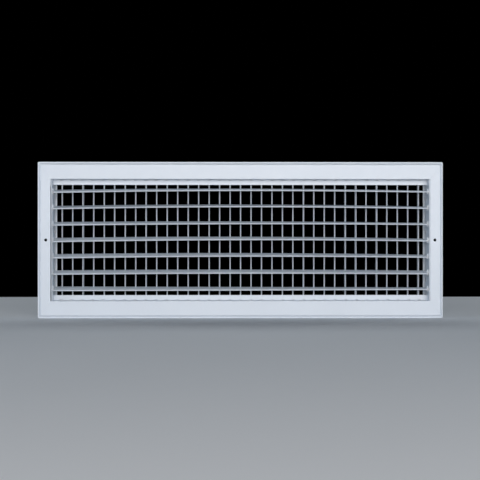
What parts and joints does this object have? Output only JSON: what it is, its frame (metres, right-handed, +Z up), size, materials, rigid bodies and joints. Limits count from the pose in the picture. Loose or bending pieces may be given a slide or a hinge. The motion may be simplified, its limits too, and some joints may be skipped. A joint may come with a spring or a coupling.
{
  "type": "louvred air grille",
  "caption": "Wall-mounted supply air grille with a screw-fixed flange and two crossed rows of separately adjustable blades.",
  "frame": {"origin": "centre of the grille on the wall plane, where the back of the flange meets the wall", "axes": "+X to the right seen from the room, +Y into the duct, +Z up; the face looks along -Y"},
  "size_m": [0.644, 0.045, 0.248],
  "materials": {
    "frame_paint": "white powder coat, satin",
    "strip_paint": "white powder coat, satin",
    "front_blade_paint": "white powder coat, satin",
    "rear_blade_paint": "white powder coat, satin",
    "bush_nylon": "natural white nylon",
    "rivet_aluminium": "plain aluminium",
    "galvanised_steel": "galvanised",
    "seal_foam": "closed-cell foam"
  },
  "bodies": {
    "frame": {"frame_top": "frame_paint", "frame_bottom": "frame_paint", "frame_left": "frame_paint", "frame_right": "frame_paint", "corner_angles": "galvanised_steel", "foam_seal": "seal_foam", "side_strip_left": "strip_paint", "side_strip_right": "strip_paint", "rear_rail_top": "strip_paint", "rear_rail_bottom": "strip_paint", "front_bushes_left": "bush_nylon", "front_bushes_right": "bush_nylon", "rear_bushes_top": "bush_nylon", "rear_bushes_bottom": "bush_nylon", "rail_rivets": "rivet_aluminium", "strip_rivets": "rivet_aluminium"},
    "front_blade_1": {"front_blade_1": "front_blade_paint"},
    "front_blade_2": {"front_blade_2": "front_blade_paint"},
    "front_blade_3": {"front_blade_3": "front_blade_paint"},
    "front_blade_4": {"front_blade_4": "front_blade_paint"},
    "front_blade_5": {"front_blade_5": "front_blade_paint"},
    "front_blade_6": {"front_blade_6": "front_blade_paint"},
    "front_blade_7": {"front_blade_7": "front_blade_paint"},
    "rear_blade_01": {"rear_blade_01": "rear_blade_paint"},
    "rear_blade_02": {"rear_blade_02": "rear_blade_paint"},
    "rear_blade_03": {"rear_blade_03": "rear_blade_paint"},
    "rear_blade_04": {"rear_blade_04": "rear_blade_paint"},
    "rear_blade_05": {"rear_blade_05": "rear_blade_paint"},
    "rear_blade_06": {"rear_blade_06": "rear_blade_paint"},
    "rear_blade_07": {"rear_blade_07": "rear_blade_paint"},
    "rear_blade_08": {"rear_blade_08": "rear_blade_paint"},
    "rear_blade_09": {"rear_blade_09": "rear_blade_paint"},
    "rear_blade_10": {"rear_blade_10": "rear_blade_paint"},
    "rear_blade_11": {"rear_blade_11": "rear_blade_paint"},
    "rear_blade_12": {"rear_blade_12": "rear_blade_paint"},
    "rear_blade_13": {"rear_blade_13": "rear_blade_paint"},
    "rear_blade_14": {"rear_blade_14": "rear_blade_paint"},
    "rear_blade_15": {"rear_blade_15": "rear_blade_paint"},
    "rear_blade_16": {"rear_blade_16": "rear_blade_paint"},
    "rear_blade_17": {"rear_blade_17": "rear_blade_paint"},
    "rear_blade_18": {"rear_blade_18": "rear_blade_paint"},
    "rear_blade_19": {"rear_blade_19": "rear_blade_paint"},
    "rear_blade_20": {"rear_blade_20": "rear_blade_paint"},
    "rear_blade_21": {"rear_blade_21": "rear_blade_paint"},
    "rear_blade_22": {"rear_blade_22": "rear_blade_paint"},
    "rear_blade_23": {"rear_blade_23": "rear_blade_paint"},
    "rear_blade_24": {"rear_blade_24": "rear_blade_paint"},
    "rear_blade_25": {"rear_blade_25": "rear_blade_paint"},
    "rear_blade_26": {"rear_blade_26": "rear_blade_paint"},
    "rear_blade_27": {"rear_blade_27": "rear_blade_paint"},
    "rear_blade_28": {"rear_blade_28": "rear_blade_paint"},
    "rear_blade_29": {"rear_blade_29": "rear_blade_paint"},
    "rear_blade_30": {"rear_blade_30": "rear_blade_paint"},
    "rear_blade_31": {"rear_blade_31": "rear_blade_paint"},
    "rear_blade_32": {"rear_blade_32": "rear_blade_paint"},
    "rear_blade_33": {"rear_blade_33": "rear_blade_paint"},
    "rear_blade_34": {"rear_blade_34": "rear_blade_paint"},
    "rear_blade_35": {"rear_blade_35": "rear_blade_paint"}
  },
  "joints": [
    {"name": "front_blade_1_tilt", "type": "hinge", "parent": "frame", "child": "front_blade_1", "pos_m": [0, 0.0056, 0.0777], "axis": [1, 0, 0], "range_deg": [-55.5, 34.5]},
    {"name": "front_blade_2_tilt", "type": "hinge", "parent": "frame", "child": "front_blade_2", "pos_m": [0, 0.0056, 0.0518], "axis": [1, 0, 0], "range_deg": [-56.5, 33.5]},
    {"name": "front_blade_3_tilt", "type": "hinge", "parent": "frame", "child": "front_blade_3", "pos_m": [0, 0.0056, 0.0259], "axis": [1, 0, 0], "range_deg": [-56, 34]},
    {"name": "front_blade_4_tilt", "type": "hinge", "parent": "frame", "child": "front_blade_4", "pos_m": [0, 0.0056, 0], "axis": [1, 0, 0], "range_deg": [-58.5, 31.5]},
    {"name": "front_blade_5_tilt", "type": "hinge", "parent": "frame", "child": "front_blade_5", "pos_m": [0, 0.0056, -0.0259], "axis": [1, 0, 0], "range_deg": [-58.5, 31.5]},
    {"name": "front_blade_6_tilt", "type": "hinge", "parent": "frame", "child": "front_blade_6", "pos_m": [0, 0.0056, -0.0518], "axis": [1, 0, 0], "range_deg": [-60, 30]},
    {"name": "front_blade_7_tilt", "type": "hinge", "parent": "frame", "child": "front_blade_7", "pos_m": [0, 0.0056, -0.0777], "axis": [1, 0, 0], "range_deg": [-56.5, 33.5]},
    {"name": "rear_blade_01_turn", "type": "hinge", "parent": "frame", "child": "rear_blade_01", "pos_m": [-0.28781, 0.0266, 0], "axis": [0, 0, 1], "range_deg": [-52.5, 37.5]},
    {"name": "rear_blade_02_turn", "type": "hinge", "parent": "frame", "child": "rear_blade_02", "pos_m": [-0.27088, 0.0266, 0], "axis": [0, 0, 1], "range_deg": [-52.06, 37.94]},
    {"name": "rear_blade_03_turn", "type": "hinge", "parent": "frame", "child": "rear_blade_03", "pos_m": [-0.25395, 0.0266, 0], "axis": [0, 0, 1], "range_deg": [-47.62, 42.38]},
    {"name": "rear_blade_04_turn", "type": "hinge", "parent": "frame", "child": "rear_blade_04", "pos_m": [-0.23702, 0.0266, 0], "axis": [0, 0, 1], "range_deg": [-51.18, 38.82]},
    {"name": "rear_blade_05_turn", "type": "hinge", "parent": "frame", "child": "rear_blade_05", "pos_m": [-0.22009, 0.0266, 0], "axis": [0, 0, 1], "range_deg": [-50.73, 39.27]},
    {"name": "rear_blade_06_turn", "type": "hinge", "parent": "frame", "child": "rear_blade_06", "pos_m": [-0.20316, 0.0266, 0], "axis": [0, 0, 1], "range_deg": [-48.29, 41.71]},
    {"name": "rear_blade_07_turn", "type": "hinge", "parent": "frame", "child": "rear_blade_07", "pos_m": [-0.18623, 0.0266, 0], "axis": [0, 0, 1], "range_deg": [-49.85, 40.15]},
    {"name": "rear_blade_08_turn", "type": "hinge", "parent": "frame", "child": "rear_blade_08", "pos_m": [-0.1693, 0.0266, 0], "axis": [0, 0, 1], "range_deg": [-49.41, 40.59]},
    {"name": "rear_blade_09_turn", "type": "hinge", "parent": "frame", "child": "rear_blade_09", "pos_m": [-0.15237, 0.0266, 0], "axis": [0, 0, 1], "range_deg": [-46.57, 43.43]},
    {"name": "rear_blade_10_turn", "type": "hinge", "parent": "frame", "child": "rear_blade_10", "pos_m": [-0.13544, 0.0266, 0], "axis": [0, 0, 1], "range_deg": [-48.53, 41.47]},
    {"name": "rear_blade_11_turn", "type": "hinge", "parent": "frame", "child": "rear_blade_11", "pos_m": [-0.11851, 0.0266, 0], "axis": [0, 0, 1], "range_deg": [-48.09, 41.91]},
    {"name": "rear_blade_12_turn", "type": "hinge", "parent": "frame", "child": "rear_blade_12", "pos_m": [-0.10158, 0.0266, 0], "axis": [0, 0, 1], "range_deg": [-47.65, 42.35]},
    {"name": "rear_blade_13_turn", "type": "hinge", "parent": "frame", "child": "rear_blade_13", "pos_m": [-0.08465, 0.0266, 0], "axis": [0, 0, 1], "range_deg": [-47.21, 42.79]},
    {"name": "rear_blade_14_turn", "type": "hinge", "parent": "frame", "child": "rear_blade_14", "pos_m": [-0.06772, 0.0266, 0], "axis": [0, 0, 1], "range_deg": [-46.77, 43.23]},
    {"name": "rear_blade_15_turn", "type": "hinge", "parent": "frame", "child": "rear_blade_15", "pos_m": [-0.05079, 0.0266, 0], "axis": [0, 0, 1], "range_deg": [-46.32, 43.68]},
    {"name": "rear_blade_16_turn", "type": "hinge", "parent": "frame", "child": "rear_blade_16", "pos_m": [-0.03386, 0.0266, 0], "axis": [0, 0, 1], "range_deg": [-45.88, 44.12]},
    {"name": "rear_blade_17_turn", "type": "hinge", "parent": "frame", "child": "rear_blade_17", "pos_m": [-0.01693, 0.0266, 0], "axis": [0, 0, 1], "range_deg": [-45.44, 44.56]},
    {"name": "rear_blade_18_turn", "type": "hinge", "parent": "frame", "child": "rear_blade_18", "pos_m": [0, 0.0266, 0], "axis": [0, 0, 1], "range_deg": [-45, 45]},
    {"name": "rear_blade_19_turn", "type": "hinge", "parent": "frame", "child": "rear_blade_19", "pos_m": [0.01693, 0.0266, 0], "axis": [0, 0, 1], "range_deg": [-44.56, 45.44]},
    {"name": "rear_blade_20_turn", "type": "hinge", "parent": "frame", "child": "rear_blade_20", "pos_m": [0.03386, 0.0266, 0], "axis": [0, 0, 1], "range_deg": [-44.12, 45.88]},
    {"name": "rear_blade_21_turn", "type": "hinge", "parent": "frame", "child": "rear_blade_21", "pos_m": [0.05079, 0.0266, 0], "axis": [0, 0, 1], "range_deg": [-43.68, 46.32]},
    {"name": "rear_blade_22_turn", "type": "hinge", "parent": "frame", "child": "rear_blade_22", "pos_m": [0.06772, 0.0266, 0], "axis": [0, 0, 1], "range_deg": [-43.23, 46.77]},
    {"name": "rear_blade_23_turn", "type": "hinge", "parent": "frame", "child": "rear_blade_23", "pos_m": [0.08465, 0.0266, 0], "axis": [0, 0, 1], "range_deg": [-42.79, 47.21]},
    {"name": "rear_blade_24_turn", "type": "hinge", "parent": "frame", "child": "rear_blade_24", "pos_m": [0.10158, 0.0266, 0], "axis": [0, 0, 1], "range_deg": [-44.95, 45.05]},
    {"name": "rear_blade_25_turn", "type": "hinge", "parent": "frame", "child": "rear_blade_25", "pos_m": [0.11851, 0.0266, 0], "axis": [0, 0, 1], "range_deg": [-41.91, 48.09]},
    {"name": "rear_blade_26_turn", "type": "hinge", "parent": "frame", "child": "rear_blade_26", "pos_m": [0.13544, 0.0266, 0], "axis": [0, 0, 1], "range_deg": [-41.47, 48.53]},
    {"name": "rear_blade_27_turn", "type": "hinge", "parent": "frame", "child": "rear_blade_27", "pos_m": [0.15237, 0.0266, 0], "axis": [0, 0, 1], "range_deg": [-41.03, 48.97]},
    {"name": "rear_blade_28_turn", "type": "hinge", "parent": "frame", "child": "rear_blade_28", "pos_m": [0.1693, 0.0266, 0], "axis": [0, 0, 1], "range_deg": [-43.39, 46.61]},
    {"name": "rear_blade_29_turn", "type": "hinge", "parent": "frame", "child": "rear_blade_29", "pos_m": [0.18623, 0.0266, 0], "axis": [0, 0, 1], "range_deg": [-44.35, 45.65]},
    {"name": "rear_blade_30_turn", "type": "hinge", "parent": "frame", "child": "rear_blade_30", "pos_m": [0.20316, 0.0266, 0], "axis": [0, 0, 1], "range_deg": [-39.71, 50.29]},
    {"name": "rear_blade_31_turn", "type": "hinge", "parent": "frame", "child": "rear_blade_31", "pos_m": [0.22009, 0.0266, 0], "axis": [0, 0, 1], "range_deg": [-43.27, 46.73]},
    {"name": "rear_blade_32_turn", "type": "hinge", "parent": "frame", "child": "rear_blade_32", "pos_m": [0.23702, 0.0266, 0], "axis": [0, 0, 1], "range_deg": [-38.82, 51.18]},
    {"name": "rear_blade_33_turn", "type": "hinge", "parent": "frame", "child": "rear_blade_33", "pos_m": [0.25395, 0.0266, 0], "axis": [0, 0, 1], "range_deg": [-38.38, 51.62]},
    {"name": "rear_blade_34_turn", "type": "hinge", "parent": "frame", "child": "rear_blade_34", "pos_m": [0.27088, 0.0266, 0], "axis": [0, 0, 1], "range_deg": [-37.94, 52.06]},
    {"name": "rear_blade_35_turn", "type": "hinge", "parent": "frame", "child": "rear_blade_35", "pos_m": [0.28781, 0.0266, 0], "axis": [0, 0, 1], "range_deg": [-40.3, 49.7]}
  ]
}
